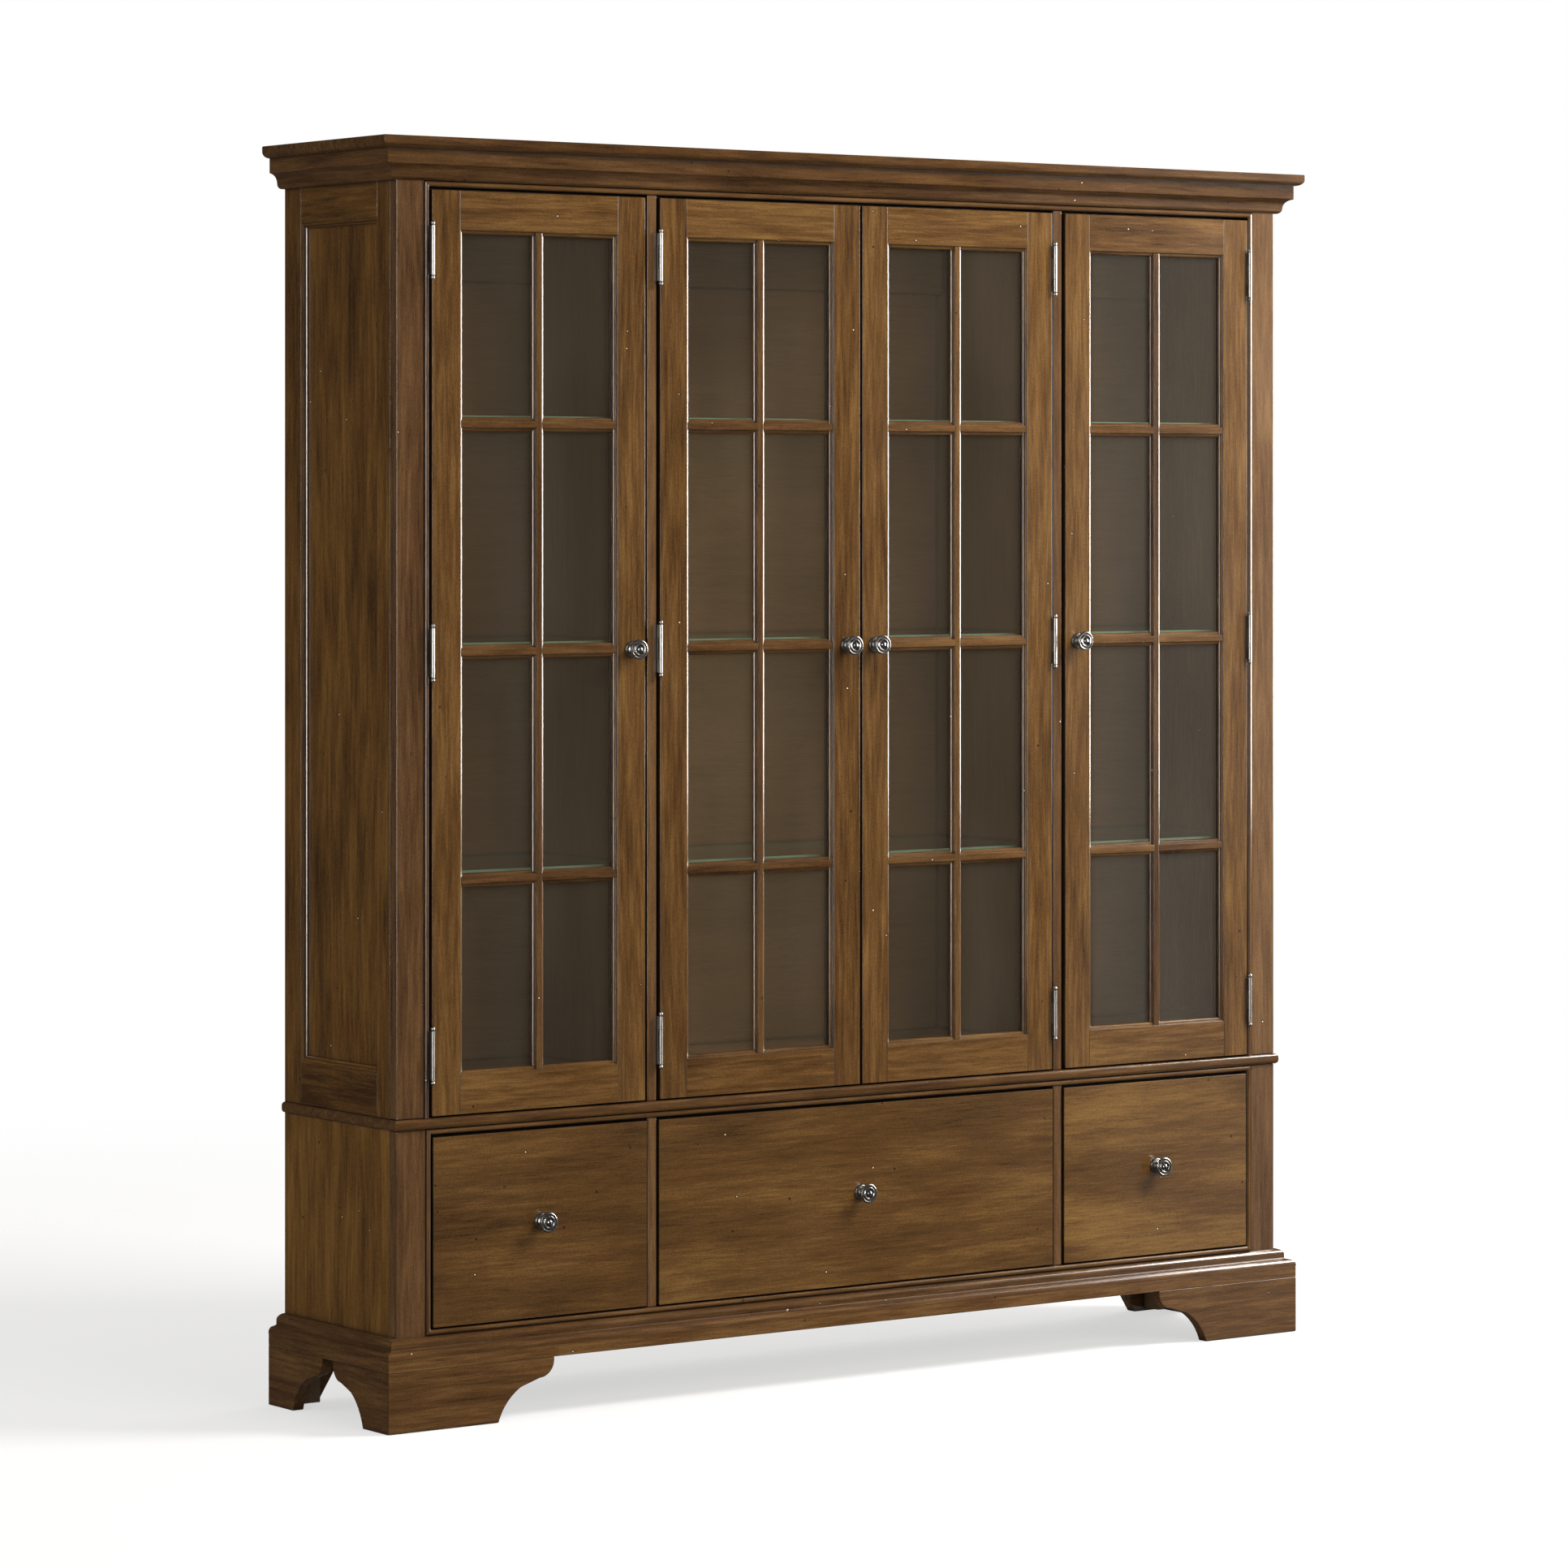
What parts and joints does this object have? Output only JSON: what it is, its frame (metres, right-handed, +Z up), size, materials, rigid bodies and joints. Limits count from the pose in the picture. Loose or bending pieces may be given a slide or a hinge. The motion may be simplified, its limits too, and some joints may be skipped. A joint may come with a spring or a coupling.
{
  "type": "china cabinet",
  "caption": "Wide stained-wood china cabinet: glazed doors with muntins and ring knobs over glass shelves, plain drawers below, moulded cornice and bracket feet.",
  "frame": {"origin": "on the floor, under the middle of the cabinet's overall width and depth", "axes": "+X to the right seen from the front, -Y out of the front towards the room, +Z up"},
  "size_m": [1.864, 0.372, 2],
  "materials": {
    "stained_wood": "satin lacquer over a dark glaze",
    "inner_wood": "satin",
    "drawer_wood": "clear sealed",
    "door_glass": "clear",
    "shelf_glass": "clear with polished edges",
    "pewter": "aged pewter with rubbed edges",
    "nickel": "satin nickel",
    "slide_steel": "zinc plated",
    "dark_plastic": "matte"
  },
  "bodies": {
    "cabinet": {"top_board": "stained_wood", "cornice_mouldings": "stained_wood", "upper_face_frame": "stained_wood", "upper_beads": "stained_wood", "upper_side_frames": "stained_wood", "upper_side_panels": "stained_wood", "side_panel_mouldings": "stained_wood", "ceiling_board": "inner_wood", "upper_floor": "inner_wood", "partitions": "inner_wood", "upper_back_panel": "inner_wood", "back_rails": "inner_wood", "glass_shelves": "shelf_glass", "shelf_pins": "nickel", "case_hinge_leaves": "nickel", "magnetic_catches": "dark_plastic", "waist_board": "stained_wood", "lower_sides": "stained_wood", "lower_face_frame": "stained_wood", "drawer_dividers": "inner_wood", "lower_beads": "stained_wood", "lower_floor": "inner_wood", "lower_back_panel": "inner_wood", "case_slide_channels": "slide_steel", "base_mouldings": "stained_wood", "base_frame": "stained_wood", "bracket_feet": "stained_wood", "foot_glue_blocks": "inner_wood"},
    "door_1": {"door_1_frame": "stained_wood", "door_1_muntins": "stained_wood", "door_1_glass": "door_glass", "door_1_fittings": "nickel", "door_1_knob": "pewter"},
    "door_2": {"door_2_frame": "stained_wood", "door_2_muntins": "stained_wood", "door_2_glass": "door_glass", "door_2_fittings": "nickel", "door_2_knob": "pewter"},
    "door_3": {"door_3_frame": "stained_wood", "door_3_muntins": "stained_wood", "door_3_glass": "door_glass", "door_3_fittings": "nickel", "door_3_knob": "pewter"},
    "door_4": {"door_4_frame": "stained_wood", "door_4_muntins": "stained_wood", "door_4_glass": "door_glass", "door_4_fittings": "nickel", "door_4_knob": "pewter"},
    "drawer_1": {"drawer_1_front": "stained_wood", "drawer_1_box": "drawer_wood", "drawer_1_slides": "slide_steel", "drawer_1_knob": "pewter"},
    "drawer_2": {"drawer_2_front": "stained_wood", "drawer_2_box": "drawer_wood", "drawer_2_slides": "slide_steel", "drawer_2_knob": "pewter"},
    "drawer_3": {"drawer_3_front": "stained_wood", "drawer_3_box": "drawer_wood", "drawer_3_slides": "slide_steel", "drawer_3_knob": "pewter"}
  },
  "joints": [
    {"name": "door_1_hinge", "type": "hinge", "parent": "cabinet", "child": "door_1", "pos_m": [-0.829, -0.16, 1.201], "axis": [0, 0, -1], "range_deg": [0, 105]},
    {"name": "door_2_hinge", "type": "hinge", "parent": "cabinet", "child": "door_2", "pos_m": [-0.401, -0.16, 1.201], "axis": [0, 0, -1], "range_deg": [0, 105]},
    {"name": "door_3_hinge", "type": "hinge", "parent": "cabinet", "child": "door_3", "pos_m": [0.401, -0.16, 1.201], "axis": [0, 0, 1], "range_deg": [0, 105]},
    {"name": "door_4_hinge", "type": "hinge", "parent": "cabinet", "child": "door_4", "pos_m": [0.829, -0.16, 1.201], "axis": [0, 0, 1], "range_deg": [0, 105]},
    {"name": "drawer_1_slide", "type": "slide", "parent": "cabinet", "child": "drawer_1", "axis": [0, -1, 0], "range_m": [0, 0.21]},
    {"name": "drawer_2_slide", "type": "slide", "parent": "cabinet", "child": "drawer_2", "axis": [0, -1, 0], "range_m": [0, 0.21]},
    {"name": "drawer_3_slide", "type": "slide", "parent": "cabinet", "child": "drawer_3", "axis": [0, -1, 0], "range_m": [0, 0.21]}
  ]
}
